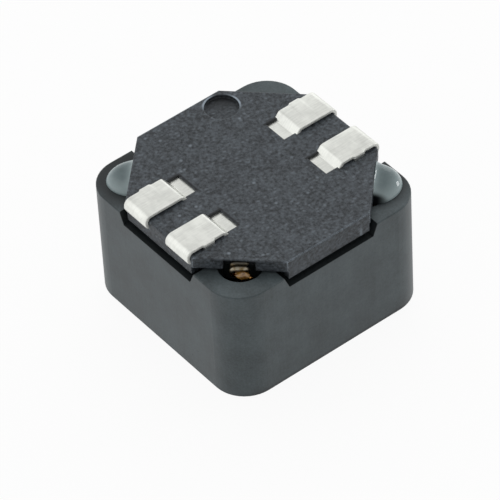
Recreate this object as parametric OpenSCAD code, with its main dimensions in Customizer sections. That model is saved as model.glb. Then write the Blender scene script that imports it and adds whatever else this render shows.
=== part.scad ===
// Surface-mount common mode choke: two wires wound side by side on a ferrite drum, a square
// ferrite shield round it, and a moulded base plate that carries four bent terminals.
// It lies as it leaves the tray, pads up: z = 0 is the flat face of the shield.

/* [Ring core] */
// Outside width of the square shield
ring_w = 12.2; // [11.8:0.1:13.4]
// Radius of its upright corners
ring_corner_r = 1.85; // [1.4:0.05:2.4]
// Thinnest wall, between the bore and a side
ring_wall = 1; // [0.8:0.05:1.2]
// Height of the corner horns
horn_h = 6.9; // [6.2:0.1:9]
// Depth of the notch in each side, below the horn tops
notch_depth = 0.7; // [0.5:0.05:0.9]
// Width of a notch at its floor
notch_w = 5.3; // [4.8:0.1:5.6]
// Lean of a notch's end walls from upright, in degrees
notch_lean = 22; // [0:1:30]
// Radius of the round well in each corner, where a wire end comes up
well_r = 1.15; // [1:0.05:1.3]
// Bevel on the pressed outer edges
ring_bevel = 0.05; // [0.03:0.01:0.16]

/* [Drum core] */
// Air gap between a drum flange and the bore
air_gap = 0.15; // [0.1:0.01:0.2]
// Thickness of a flange
flange_t = 1.2; // [0.9:0.05:1.4]
// Diameter of the post that carries the wires
post_d = 6.4; // [5.6:0.1:6.8]
// How far the lower flange stays inside the resting face
drum_recess = 0.1; // [0.05:0.01:0.3]
// Bevel on the flange edges
flange_bevel = 0.12; // [0.05:0.01:0.2]

/* [Base plate] */
// Step from the shield's side in to the plate's plain sides
side_inset = 0.15; // [0.1:0.01:0.18]
// Length of a side that carries terminals, between two cut corners
flat_l = 5.3; // [5.3:0.05:5.5]
// Radius of the plate's upper edges, where no terminal bends over them
crisp_r = 0.05; // [0.03:0.01:0.1]
// Thickness of the plate over the horns
slab_t = 0.66; // [0.64:0.01:0.8]
// Gap between the horn tops and the plate
horn_gap = 0.16; // [0.1:0.01:0.2]
// Height of the plate's seat on the drum over the notch floors
seat_rise = 0.2; // [0.1:0.01:0.3]
// Gap between a notch floor and the plate's tongue
tongue_gap = 0.36; // [0.3:0.01:0.42]
// Side clearance of a tongue in its notch
tongue_clear = 0.1; // [0.05:0.01:0.2]
// Radius of the round polarity mark
mark_r = 0.9; // [0.6:0.05:1]
// Depth of the mark
mark_depth = 0.2; // [0.1:0.01:0.3]
// Rim left between the mark and the plate's side
mark_rim = 0.17; // [0.1:0.01:0.3]
// Place of the mark along that side, from its middle
mark_along = 1.95; // [1.2:0.05:2]
// Width of the slot round a wrapped tab
slot_w = 1.6; // [1.5:0.05:1.8]
// How far that slot cuts into a corner
slot_depth = 0.46; // [0.4:0.01:0.5]
// Thin roof left over the slot
slot_roof = 0.07; // [0.05:0.005:0.08]

/* [Terminals] */
// Thickness of the tinned strip
strip_t = 0.2; // [0.16:0.01:0.22]
// Width of the strip
strip_w = 1.75; // [1.4:0.05:1.8]
// Distance between the two terminals of one side
pitch = 3.3; // [3:0.02:3.3]
// Inside radius of the two bends round the plate's side
bend_r = 0.2; // [0.18:0.01:0.22]
// Gap between the plate and the underside of a pad
pad_rise = 0.08; // [0.06:0.01:0.1]
// Flat length of a solder pad
pad_l = 1.92; // [1.7:0.01:2]
// Flat length of the lowered inner end
tail_l = 0.79; // [0.6:0.01:0.9]
// How far the inner end is set down from the pad
joggle_drop = 0.38; // [0.34:0.01:0.42]
// Angle of the joggle, in degrees
joggle_angle = 65; // [55:1:70]
// Inside radius of the joggle's bends
joggle_r = 0.04; // [0.03:0.01:0.08]
// Plastic that laps over the edges of the inner end
tail_lap = 0.15; // [0.1:0.01:0.2]
// Width of the wing that leads from a pad's side down to its tab
wing_w = 0.66; // [0.5:0.02:0.7]
// Distance from the wing to the bend round the plate's side
wing_in = 0.62; // [0.5:0.02:0.7]
// How far the wing stands out beyond the pad's side
wing_out = 0.09; // [0.05:0.01:0.1]
// Inside radius of the wing's bend
wing_r = 0.05; // [0.03:0.01:0.08]
// Plastic left under the moulded-in part of a strip
strip_cover = 0.06; // [0.04:0.01:0.06]
// Length of the moulded-in root behind the lower bend
root_l = 1.1; // [0.8:0.05:1.4]
// Width of the tab that a wire end is wrapped on
tab_w = 0.4; // [0.3:0.02:0.44]
// Straight length of a tab in the slot, before it is bent down
tab_in = 0.06; // [0.05:0.01:0.08]
// Length of the bent-down end of a tab
tab_l = 0.7; // [0.66:0.01:0.74]
// Angle of a tab's bend, in degrees
tab_angle = 24; // [23:1:32]

/* [Winding] */
// Diameter of the enamelled wire
wire_d = 0.28; // [0.2:0.01:0.3]
// Spare room between neighbouring turns
turn_gap = 0.02; // [0.02:0.01:0.06]
// Room between the wires and the core
wire_clear = 0.07; // [0.06:0.01:0.1]
// Room between a wrapped wire and its tab
wrap_clear = 0.02; // [0.015:0.005:0.03]
// Room between the first wrap and the tab's bend
bend_clear = 0.1; // [0.08:0.01:0.12]
// Sideways swing of a wire end below its tab
lead_swing = 1.6; // [1.4:0.05:1.65]
// Drop of the first turn below the upper flange
lead_drop = 0.15; // [0.12:0.01:0.3]

/* [Epoxy] */
// Height of an epoxy mound over the horn tops
mound_h = 0.86; // [0.84:0.01:0.9]
// Width of a mound where it meets the horn top
mound_w = 2.6; // [2.56:0.02:2.8]
// Shift of the left mound along its cut corner
left_shift = -0.15; // [-0.2:0.01:0.2]
// Shift of the right mound along its cut corner
right_shift = 0.5; // [0.3:0.02:0.5]

/* [Hidden] */
$fn = 72;
eps = 0.01;
over = 1;

// Shield
bore_r = ring_w/2 - ring_wall;
notch_z = horn_h - notch_depth;
well_mid = bore_r - well_r;
well_s = well_mid*sqrt(2);

// Plate heights, from the seat on the drum to the pads
seat_z = notch_z + seat_rise;
tongue_z = notch_z + tongue_gap;
slab_z = horn_h + horn_gap;
plate_z = slab_z + slab_t;
pad_z = plate_z + pad_rise;
total_h = pad_z + strip_t;

// Plate outline: a square with its corners cut at 45 degrees
plate_x = ring_w/2 - side_inset;
plate_y = ring_w/2 - strip_t;
corner_half = (plate_y + flat_l/2)/sqrt(2);
round_r = bend_r - pad_rise;
tongue_half = notch_w/2 - tongue_clear;
seat_r = bore_r - 2*air_gap;

// Terminal strip, seen from its side as (u, z), with u outward from the plate's middle
bend_u = plate_y - bend_r;
joggle_mid_r = joggle_r + strip_t/2;
joggle_rise = 2*joggle_mid_r*(1 - cos(joggle_angle));
joggle_l = (joggle_drop - joggle_rise)/sin(joggle_angle);
joggle_run = 2*joggle_mid_r*sin(joggle_angle) + joggle_l*cos(joggle_angle);
joggle_steps = 10;
pad_u = bend_u - pad_l;
tail_u = pad_u - joggle_run;
tail_end_u = tail_u - tail_l;
tail_z = pad_z - joggle_drop;
strip_z = slab_z + strip_cover;
tab_mid_z = strip_z + strip_t/2;
side_x = pitch/2 + strip_w/2;
wing_u = bend_u - wing_in;
slot_top = plate_z - slot_roof;
slot_s = corner_half - slot_depth;
tab_s = slot_s + tab_in;

// Drum
flange_r = bore_r - air_gap;
window_z0 = drum_recess + flange_t;
window_z1 = seat_z - flange_t;

// Winding: two layers, wires A and B next to each other, down inside and back up outside
wire_r = wire_d/2;
wire_sides = 6;
turn_angle = 18;
wire_pitch = wire_d + turn_gap;
coil_pitch = 2*wire_pitch;
layer_1_r = post_d/2 + wire_clear + wire_r;
layer_2_r = layer_1_r + wire_pitch;
first_z = window_z1 - lead_drop - wire_r;
last_z = window_z0 + wire_clear + wire_r + wire_pitch;
turns_down = floor((first_z - last_z)/coil_pitch);
turns_up = turns_down - 2;
sweep_angle = 45;
enter_angle = 3;
lead_r = flange_r + wire_r;
well_floor = first_z - wire_d - wire_clear;
lead_steps = 9;
wrap_r = wire_r + wrap_clear;
wrap_steps = 20;

// Polarity mark beside terminal 1, epoxy in the two corners on the other diagonal
corner_angle_1 = 135;
corner_angle_2 = 225;
corner_angle_4 = 45;

ferrite = "#5c6062";
plastic = "#4a4c50";
tin = "#dfdfda";
copper = "#b87333";
epoxy = "#8fa0a0";

function lerp(a, b, t) = a + (b - a)*t;
function ease(t) = t*t*(3 - 2*t);
function clamp(t) = min(1, max(0, t));
function unit(v) = v/norm(v);
function last(list) = list[len(list) - 1];
function bezier(p, t) =
    pow(1 - t, 3)*p[0] + 3*t*pow(1 - t, 2)*p[1] + 3*t*t*(1 - t)*p[2] + pow(t, 3)*p[3];

// A point by a corner at angle a: s outward on the diagonal, q across it
function at_corner(a, s, q, z) = [s*cos(a) - q*sin(a), s*sin(a) + q*cos(a), z];
function polar(r, a, z) = [r*cos(a), r*sin(a), z];

// A point by a bent-down tab: l along it from the bend, q across, h up from its middle
function by_tab(a, l, q, h) =
    at_corner(a, tab_s + l*cos(tab_angle) + h*sin(tab_angle), q,
              tab_mid_z - l*sin(tab_angle) + h*cos(tab_angle));

// Wire round the tab: a quarter bend at each edge of the tab, three points a bend
function wrap_point(a, hand, i) =
    let (edge = floor(i/3)%4)
    let (turn = 90*edge + 45*(i%3))
    let (q = (edge == 0 || edge == 3 ? 1 : -1)*tab_w/2 + wrap_r*cos(turn))
    let (h = (edge < 2 ? 1 : -1)*strip_t/2 + wrap_r*sin(turn))
    by_tab(a, bend_clear + wire_pitch*i/12, hand*q, h);

// From the free end on the tab, down the well and in under the flange to the first turn
function lead_path(a, hand, coil_r, coil_z) =
    let (wraps = [for (i = [0:wrap_steps]) wrap_point(a, -hand, i)])
    let (enter = polar(lead_r, a + hand*enter_angle, first_z))
    let (swing = at_corner(a, wire_d, -hand*lead_swing, 0))
    let (above = at_corner(a, 2*wire_d, -2*hand*wire_d, lead_swing*2/3))
    let (drop = [last(wraps), last(wraps) + swing, enter + above, enter])
    let (inward = [for (k = [1:lead_steps - 1])
        let (t = k/lead_steps)
        polar(lerp(lead_r, coil_r, 1 - pow(1 - t, 2)),
              a + hand*lerp(enter_angle, sweep_angle, t),
              lerp(first_z, coil_z, ease(clamp(2*t))))])
    concat(wraps, [for (k = [1:lead_steps]) bezier(drop, k/lead_steps)], inward);

// Down the inner layer, out at turn_a, and up the outer layer
function coil_path(start_a, turn_a, end_a, start_z) =
    [for (a = [start_a:turn_angle:end_a])
        let (low_z = start_z - coil_pitch*(turn_a - start_a)/360)
        polar(lerp(layer_1_r, layer_2_r, ease(clamp((a - turn_a)/(3*turn_angle) + 0.5))), a,
              low_z + coil_pitch*abs(a - turn_a)/360)];

function reverse(list) = [for (i = [len(list) - 1:-1:0]) list[i]];

function winding_path(start_corner, start_z) =
    let (start_a = start_corner + sweep_angle)
    let (turn_a = corner_angle_1 + sweep_angle + 360*turns_down)
    let (end_corner = start_corner + 180)
    let (end_a = end_corner - sweep_angle + 360*(turns_down + turns_up))
    let (coil = coil_path(start_a, turn_a, end_a, start_z))
    concat(lead_path(start_corner, 1, layer_1_r, start_z), coil,
           reverse(lead_path(end_corner, -1, layer_2_r, last(coil)[2])));

function tangent(path, i) = unit(path[min(i + 1, len(path) - 1)] - path[max(i - 1, 0)]);
function carried(v, t) = unit(v - (v*t)*t);

// Round wire along a path, its section carried on without twist
module wire(path) {
    n = len(path);
    sides = [for (i = 0, v = carried([0.3, 0.2, 1], tangent(path, 0)); i < n;
                  i = i + 1, v = i < n ? carried(v, tangent(path, i)) : v) v];
    points = [for (i = [0:n - 1], k = [0:wire_sides - 1])
        let (turn = 360*k/wire_sides)
        path[i] + wire_r*(cos(turn)*sides[i] + sin(turn)*cross(tangent(path, i), sides[i]))];
    ring = [for (k = [0:wire_sides - 1]) k];
    skin = [for (i = [0:n - 2], k = [0:wire_sides - 1])
        let (a = i*wire_sides + k)
        let (b = i*wire_sides + (k + 1)%wire_sides)
        each [[a, a + wire_sides, b], [b, a + wire_sides, b + wire_sides]]];
    polyhedron(points, concat([ring], skin, [[for (k = ring) n*wire_sides - 1 - k]]));
}

// Square block with round upright corners and beveled upper and lower edges
module rounded_block(w, h, r, bevel) {
    half = w/2;
    side = [[bevel - half, 0], [half - bevel, 0], [half, bevel], [half, h - bevel],
            [half - bevel, h], [bevel - half, h], [-half, h - bevel], [-half, bevel]];
    for (a = [0, 90])
        rotate([0, 0, a])
            rotate([90, 0, 90])
                linear_extrude(w - 2*r, center = true)
                    polygon(side);
    for (a = [0:90:270])
        rotate([0, 0, a])
            translate([half - r, half - r, 0])
                rotate_extrude()
                    polygon([[0, 0], [r - bevel, 0], [r, bevel], [r, h - bevel], [r - bevel, h], [0, h]]);
}

// The cut that leaves two notches, one at each end of the x axis
module notch_cut() {
    lean = tan(notch_lean);
    foot = notch_w/2;
    head = foot + (notch_depth + over)*lean;
    rotate([90, 0, 90])
        linear_extrude(ring_w + 2*over, center = true)
            polygon([[-foot, notch_z], [foot, notch_z], [head, horn_h + over], [-head, horn_h + over]]);
}

module ring_core() {
    color(ferrite)
        difference() {
            rounded_block(ring_w, horn_h, ring_corner_r, ring_bevel);
            translate([0, 0, -over])
                cylinder(r = bore_r, h = horn_h + 2*over);
            for (a = [0:90:270])
                rotate([0, 0, a])
                    translate([well_mid, well_mid, well_floor])
                        cylinder(r = well_r, h = horn_h);
            for (a = [0, 90])
                rotate([0, 0, a])
                    notch_cut();
        }
}

module drum_core() {
    post_r = post_d/2;
    b = flange_bevel;
    color(ferrite)
        rotate_extrude()
            polygon([[0, drum_recess], [flange_r - b, drum_recess], [flange_r, drum_recess + b],
                     [flange_r, window_z0 - b], [flange_r - b, window_z0], [post_r, window_z0],
                     [post_r, window_z1], [flange_r - b, window_z1], [flange_r, window_z1 + b],
                     [flange_r, seat_z - b], [flange_r - b, seat_z], [0, seat_z]]);
}

// Section of a bar with rounded upper edges, standing on y = 0
module bar_section(half, h, r) {
    translate([-half, 0])
        square([2*half, h - r]);
    translate([r - half, 0])
        square([2*(half - r), h]);
    for (s = [-1, 1])
        translate([s*(half - r), h - r])
            circle(r);
}

module bar(half, r, a) {
    rotate([0, 0, a])
        rotate([90, 0, 0])
            linear_extrude(2*ring_w, center = true)
                bar_section(half, slab_t, r);
}

// Eight-sided slab: four crossing bars leave their common part
module slab() {
    translate([0, 0, slab_z])
        intersection() {
            bar(plate_x, crisp_r, 0);
            bar(plate_y, round_r, 90);
            bar(corner_half, crisp_r, 45);
            bar(corner_half, crisp_r, 135);
        }
}

// Under the slab: a round seat on the drum and a tongue into each notch
module seat() {
    translate([0, 0, seat_z])
        linear_extrude(slab_z - seat_z)
            circle(seat_r);
    translate([0, 0, tongue_z])
        linear_extrude(slab_z - tongue_z) {
            square([2*plate_x, 2*tongue_half], center = true);
            square([2*tongue_half, 2*plate_y], center = true);
        }
}

// Opening over the inner end, whose edges stay under the plastic
module tail_window() {
    w = strip_w - 2*tail_lap;
    translate([pitch/2 - w/2, tail_end_u + tail_lap, tail_z + strip_t/2])
        cube([w, tail_l - tail_lap + joggle_run/2, slab_t]);
}

// A terminal by the signs of its x and y, drawn in the corner where both are positive
module in_quadrant(sx, sy) {
    mirror([sx < 0 ? 1 : 0, 0, 0])
        mirror([0, sy < 0 ? 1 : 0, 0])
            children();
}

module base_plate() {
    color(plastic)
        difference() {
            union() {
                slab();
                seat();
            }
            for (a = [45:90:315])
                rotate([0, 0, a])
                    translate([slot_s, -slot_w/2, slab_z - over])
                        cube([ring_w, slot_w, slot_top - slab_z + over]);
            translate([mark_rim + mark_r - plate_x, mark_along, plate_z - mark_depth])
                cylinder(r = mark_r, h = over);
            for (sx = [-1, 1], sy = [-1, 1])
                in_quadrant(sx, sy) {
                    tail_window();
                    terminal_solid();
                }
        }
}

// Part of a flat ring between two angles, for a bend seen from its side
module bend(inside_r, from, to) {
    outside_r = inside_r + strip_t;
    reach = 2*outside_r;
    mid = (from + to)/2;
    intersection() {
        difference() {
            circle(outside_r);
            circle(inside_r);
        }
        polygon([[0, 0], for (a = [from, mid, to]) reach*[cos(a), sin(a)]]);
    }
}

// Points on a round from one angle to another
function arc(mid, r, from, to) =
    [for (k = [0:joggle_steps])
        let (turn = lerp(from, to, k/joggle_steps))
        mid + r*[cos(turn), sin(turn)]];

// Lowered end, joggle and pad from the side, as one outline: along the top, back underneath
module joggled_pad() {
    a = joggle_angle;
    low = [tail_u, tail_z + strip_t/2 + joggle_mid_r];
    high = [pad_u, pad_z + strip_t/2 - joggle_mid_r];
    outer_r = joggle_r + strip_t;
    polygon(concat([[tail_end_u, tail_z + strip_t]],
                   arc(low, joggle_r, -90, a - 90), arc(high, outer_r, 90 + a, 90),
                   [[bend_u, pad_z + strip_t], [bend_u, pad_z]],
                   arc(high, joggle_r, 90, 90 + a), arc(low, outer_r, a - 90, -90),
                   [[tail_end_u, tail_z]]));
}

// The strip from its side: joggled pad, bend, leg, bend, moulded-in root
module strip_section() {
    leg_z = strip_z + strip_t + bend_r;
    joggled_pad();
    translate([bend_u, pad_z - bend_r])
        bend(bend_r, 0, 90);
    translate([plate_y, leg_z])
        square([strip_t, pad_z - bend_r - leg_z]);
    translate([bend_u, leg_z])
        bend(bend_r, -90, 0);
    translate([bend_u - root_l, strip_z])
        square([root_l, strip_t]);
}

// The wing seen along the plate's side: off the pad's edge and straight down
module wing_section() {
    outer_r = wing_r + strip_t;
    face_x = side_x + wing_out;
    top = pad_z + strip_t;
    translate([side_x - tab_w, pad_z])
        square([tab_w + wing_out - outer_r, strip_t]);
    translate([face_x - outer_r, top - outer_r])
        bend(wing_r, 0, 90);
    translate([face_x - strip_t, strip_z])
        square([strip_t, top - outer_r - strip_z]);
}

// The flat arm inside the plate, from root and wing to the tab
module arm_outline() {
    start_s = slot_s - tab_w;
    half = tab_w/2 - eps;
    polygon([[side_x - tab_w, bend_u - root_l], [side_x, bend_u - root_l],
             [(start_s + half)/sqrt(2), (start_s - half)/sqrt(2)],
             [(start_s + half)/sqrt(2), (start_s + half)/sqrt(2)],
             [(start_s - half)/sqrt(2), (start_s + half)/sqrt(2)],
             [side_x, bend_u - eps], [side_x - tab_w, bend_u - eps]]);
}

// The tab from its side, as (s, z): out of the plate into the corner slot, then bent down
module tab_section() {
    start_s = slot_s - tab_w - strip_t;
    half = strip_t/2;
    mitre = half*tan(tab_angle/2);
    end = [tab_s, tab_mid_z] + tab_l*[cos(tab_angle), -sin(tab_angle)];
    up = half*[sin(tab_angle), cos(tab_angle)];
    polygon([[start_s, strip_z], [tab_s - mitre, strip_z], end - up, end + up,
             [tab_s + mitre, strip_z + strip_t], [start_s, strip_z + strip_t]]);
}

module terminal_solid() {
    translate([pitch/2, 0, 0])
        rotate([90, 0, 90])
            linear_extrude(strip_w, center = true)
                strip_section();
    translate([0, wing_u, 0])
        rotate([90, 0, 0])
            linear_extrude(wing_w)
                wing_section();
    translate([0, 0, strip_z])
        linear_extrude(strip_t)
            arm_outline();
    rotate([0, 0, 45])
        rotate([90, 0, 0])
            linear_extrude(tab_w, center = true)
                tab_section();
}

module terminal_1() { color(tin) in_quadrant(-1, 1) terminal_solid(); }
module terminal_2() { color(tin) in_quadrant(-1, -1) terminal_solid(); }
module terminal_3() { color(tin) in_quadrant(1, -1) terminal_solid(); }
module terminal_4() { color(tin) in_quadrant(1, 1) terminal_solid(); }

module winding_a() { color(copper) wire(winding_path(corner_angle_1, first_z)); }
module winding_b() { color(copper) wire(winding_path(corner_angle_4, first_z - coil_pitch/4)); }

// Room that a wrapped tab takes inside the epoxy
module wrapped_tab_room() {
    top = strip_t/2 + wrap_r + wire_r + wrap_clear;
    wraps_l = bend_clear + wire_pitch*wrap_steps/12 + wrap_r;
    translate([tab_s, 0, tab_mid_z])
        rotate([0, tab_angle, 0])
            translate([-top, 0, 0])
                rotate([90, 0, 90])
                    linear_extrude(top + wraps_l) {
                        for (s = [-1, 1])
                            translate([s*tab_w/2, 0])
                                circle(top);
                        square([tab_w, 2*top], center = true);
                    }
}

// Mound of epoxy on the horn top against a cut corner of the plate
module mound(a, shift) {
    r = (mound_w*mound_w/4 + mound_h*mound_h)/(2*mound_h);
    rotate([0, 0, a])
        difference() {
            intersection() {
                translate([corner_half, shift, horn_h + mound_h - r])
                    sphere(r);
                translate([0, 0, horn_h]) {
                    translate([corner_half, -ring_w, 0])
                        cube([ring_w, 2*ring_w, horn_h]);
                    translate([slot_s, -slot_w/2, 0])
                        cube([ring_w, slot_w, slot_top - horn_h]);
                }
            }
            wrapped_tab_room();
        }
}

module epoxy_left() { color(epoxy) mound(corner_angle_2, left_shift); }
module epoxy_right() { color(epoxy) mound(corner_angle_4, right_shift); }

ring_core();
drum_core();
base_plate();
terminal_1();
terminal_2();
terminal_3();
terminal_4();
winding_a();
winding_b();
epoxy_left();
epoxy_right();
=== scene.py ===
import bmesh
import bpy
import numpy as np
from mathutils import Matrix, Vector


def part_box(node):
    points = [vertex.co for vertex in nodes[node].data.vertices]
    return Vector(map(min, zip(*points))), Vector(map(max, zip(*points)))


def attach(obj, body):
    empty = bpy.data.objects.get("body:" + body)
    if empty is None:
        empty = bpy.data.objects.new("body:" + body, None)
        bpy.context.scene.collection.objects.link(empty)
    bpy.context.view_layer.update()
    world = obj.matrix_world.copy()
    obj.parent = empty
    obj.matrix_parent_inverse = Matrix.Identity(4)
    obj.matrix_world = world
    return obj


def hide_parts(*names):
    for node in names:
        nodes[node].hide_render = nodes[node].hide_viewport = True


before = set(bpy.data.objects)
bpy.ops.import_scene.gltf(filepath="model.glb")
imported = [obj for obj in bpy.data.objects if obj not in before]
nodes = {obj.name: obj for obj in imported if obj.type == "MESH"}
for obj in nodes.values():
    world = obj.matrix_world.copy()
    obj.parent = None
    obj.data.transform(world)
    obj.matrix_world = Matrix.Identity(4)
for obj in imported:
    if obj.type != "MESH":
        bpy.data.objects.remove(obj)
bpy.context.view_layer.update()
mm = 0.001
rootTwo = 2 ** 0.5
print("frame loaded:", len(nodes), "CAD nodes")


# highest corner of a CAD node in millimetres, to a thousandth
def topCorner(name):
    return [round(place / mm, 3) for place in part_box(name)[1]]


# sizes that the scene takes from the solids, in millimetres
plateX, plateY, plateTop = topCorner("base_plate")
body = {"hornTop": topCorner("ring_core")[2], "flangeR": topCorner("drum_core")[0],
        "padTop": topCorner("terminal_4")[2], "plateX": plateX, "plateY": plateY, "plateTop": plateTop,
        "cutX": 2.65}   # where the plate's long sides end and its cut corners begin
body["cornerHalf"] = (body["plateY"] + body["cutX"]) / rootTwo   # from the middle to a cut corner


# a socket that takes part in sums: each operator adds one Math node to the finish
class Value:
    def __init__(self, finish, socket):
        self.finish, self.socket = finish, socket

    def __add__(self, other):
        return self.finish.sum("ADD", self, other)

    def __sub__(self, other):
        return self.finish.sum("SUBTRACT", self, other)

    def __rsub__(self, other):
        return self.finish.sum("SUBTRACT", other, self)

    def __mul__(self, other):
        return self.finish.sum("MULTIPLY", self, other)

    def __truediv__(self, other):
        return self.finish.sum("DIVIDE", self, other)

    def __pow__(self, other):
        return self.finish.sum("POWER", self, other)

    __radd__ = __add__
    __rmul__ = __mul__


# one material; node() adds any node: settings first, then values or links by socket name or number
class Finish:
    def __init__(self, name):
        self.material = bpy.data.materials.new(name)
        self.material.use_nodes = True
        self.tree = self.material.node_tree
        self.tree.nodes.clear()
        self.here = self.node("ShaderNodeTexCoord", out="Object")

    def node(self, kind, settings=None, sockets=None, out=0):
        made = self.tree.nodes.new(kind)
        for key, value in (settings or {}).items():
            setattr(made, key, value)
        for key, value in (sockets or {}).items():
            if isinstance(value, Value):
                self.tree.links.new(value.socket, made.inputs[key])
            else:
                made.inputs[key].default_value = value
        return Value(self, made.outputs[out]) if made.outputs else None

    def sum(self, operation, a, b=0.0, clamp=False):
        return self.node("ShaderNodeMath", {"operation": operation, "use_clamp": clamp}, {0: a, 1: b})

    def absolute(self, value):
        return self.sum("ABSOLUTE", value)

    # the greatest of several values
    def most(self, first, *others):
        for other in others:
            first = self.sum("MAXIMUM", first, other)
        return first

    # a pattern's swing about its middle, amount from end to end
    def swing(self, value, amount):
        return (value - 0.5) * amount

    # straight ramp from 0 at low to 1 at high, held at both ends
    def step(self, value, low, high):
        return self.sum("MULTIPLY", value - low, 1 / (high - low), clamp=True)

    # 0 up to start, 1 from full to last, 0 again from end
    def band(self, value, start, full, last, end):
        return self.step(value, start, full) * self.step(value, end, last)

    def blend(self, share, a, b):
        settings = {"data_type": "RGBA", "blend_type": "MIX", "clamp_factor": True}
        return self.node("ShaderNodeMix", settings, {0: share, 6: a, 7: b}, out=2)

    # pattern space, scaled by three factors and turned
    def stretched(self, scale, turn=(0, 0, 0)):
        sockets = {"Vector": self.here, "Scale": scale, "Rotation": turn}
        return self.node("ShaderNodeMapping", None, sockets)

    # x, y or z of the object's own frame, in millimetres
    def axis(self, number):
        return self.node("ShaderNodeSeparateXYZ", None, {0: self.here}, out=number) * (1 / mm)

    # distance in millimetres from an upright line through (x, y)
    def fromLine(self, x, y):
        dx, dy = self.axis(0) - x, self.axis(1) - y
        return (dx * dx + dy * dy) ** 0.5

    # noise with features about size millimetres across
    def noise(self, size, detail=2.0, rough=0.5, where=None):
        sockets = {"Vector": where or self.here, "Scale": 1 / (size * mm), "Detail": detail,
                   "Roughness": rough}
        return self.node("ShaderNodeTexNoise", {"noise_dimensions": "3D"}, sockets)

    # cells about gap millimetres apart
    def cells(self, gap, out="Distance", where=None):
        sockets = {"Vector": where or self.here, "Scale": 1 / (gap * mm)}
        return self.node("ShaderNodeTexVoronoi", {"feature": "F1"}, sockets, out=out)

    # a soft speck in the middle of each cell, of mixed strength
    def specks(self, s):
        where = self.stretched(s["stretch"], s["turn"])
        strength = self.node("ShaderNodeSeparateXYZ", None, {0: self.cells(s["gap"], "Color", where)})
        away = self.cells(s["gap"], "Distance", where)
        return self.step(away, *s["reach"]) * self.step(strength, *s["mix"])

    def attribute(self, name):
        return self.node("ShaderNodeAttribute", {"attribute_name": name}, out="Fac")

    def bump(self, height, depth, under=None):
        sockets = {"Height": height, "Strength": 1.0, "Distance": depth * mm}
        if under:
            sockets["Normal"] = under
        return self.node("ShaderNodeBump", None, sockets)

    # normal of the surface with its edges rounded to a small radius
    def softEdge(self, radius):
        return self.node("ShaderNodeBevel", {"samples": 6}, {"Radius": radius * mm})

    # 1 on the rounded edges, 0 on the flats: how far the soft normal leans from the true one
    def edgeMask(self, soft, low, high):
        plain = self.node("ShaderNodeNewGeometry", out="True Normal")
        sockets = {0: soft, 1: plain}
        along = self.node("ShaderNodeVectorMath", {"operation": "DOT_PRODUCT"}, sockets, out="Value")
        return self.step(1 - along, low, high)

    def surface(self, sockets):
        shader = self.node("ShaderNodeBsdfPrincipled", None, sockets)
        self.node("ShaderNodeOutputMaterial", None, {"Surface": shader})
        return self.material


def grey(level, tint=(1.0, 1.0, 1.0)):
    return (level * tint[0], level * tint[1], level * tint[2], 1.0)


# In the looks below a noise is (size in mm, detail, roughness), a pair is a ramp's (where 0, where 1), and
# four values are a band's (start, full, last full, end). A share says how much of a colour is laid on, and a
# part how much a pattern adds to the tone.

# fired ferrite: cloudy satin grey, fine grain, faint upright press lines, a few pits, paler edges; darker
# where epoxy wets the horn tops, together with painted shade round the drops and by the plate; painted
# shade on the notch floors and end walls and along the foot of the +X side
ferriteLook = {
    "tint": (0.80, 1.0, 1.07), "dark": 0.056, "pale": 0.102, "pitted": 0.03, "worn": 0.16, "dampAndShade": 0.010,
    "cloud": (1.6, 3.0, 0.55), "grain": (0.11, 3.0, 0.6), "lines": (0.16, 2.0, 0.5),
    "lineStretch": (1.0, 1.0, 0.05), "toneParts": (0.55, 0.42, 0.10), "tone": (0.40, 0.68),
    "pitGap": 0.55, "pitReach": (0.075, 0.03), "pitShare": 0.5,
    "edgeR": 0.05, "edgeLean": (0.02, 0.16), "wearAndShine": (0.5, 2.0), "wearAndShinePatch": (0.3, 0.6), "wearShare": 0.45,
    "wetted": [(-4.50, -4.05), (3.78, 4.77)], "wetR": [(2.8, 1.6), (2.1, 1.3)], "wetZ": (-0.06, -0.02),
    "wetShare": 0.88,
    "notchFloor": 6.2, "notchHalf": 2.65, "notchLean": 0.404, "notchEdge": (-0.03, 0.0),
    "notchZ": (-0.01, -0.002), "notchShare": 0.88,
    "footZ": (0.32, 0.04), "footX": (5.2, 6.0), "footShare": 0.7,
    "rough": 0.42, "grainRough": 0.16, "cloudRough": 0.10, "pitRough": 0.2, "specular": 0.3,
    "relief": 0.006, "grainRise": 0.8, "lineRise": 0.2}


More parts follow.
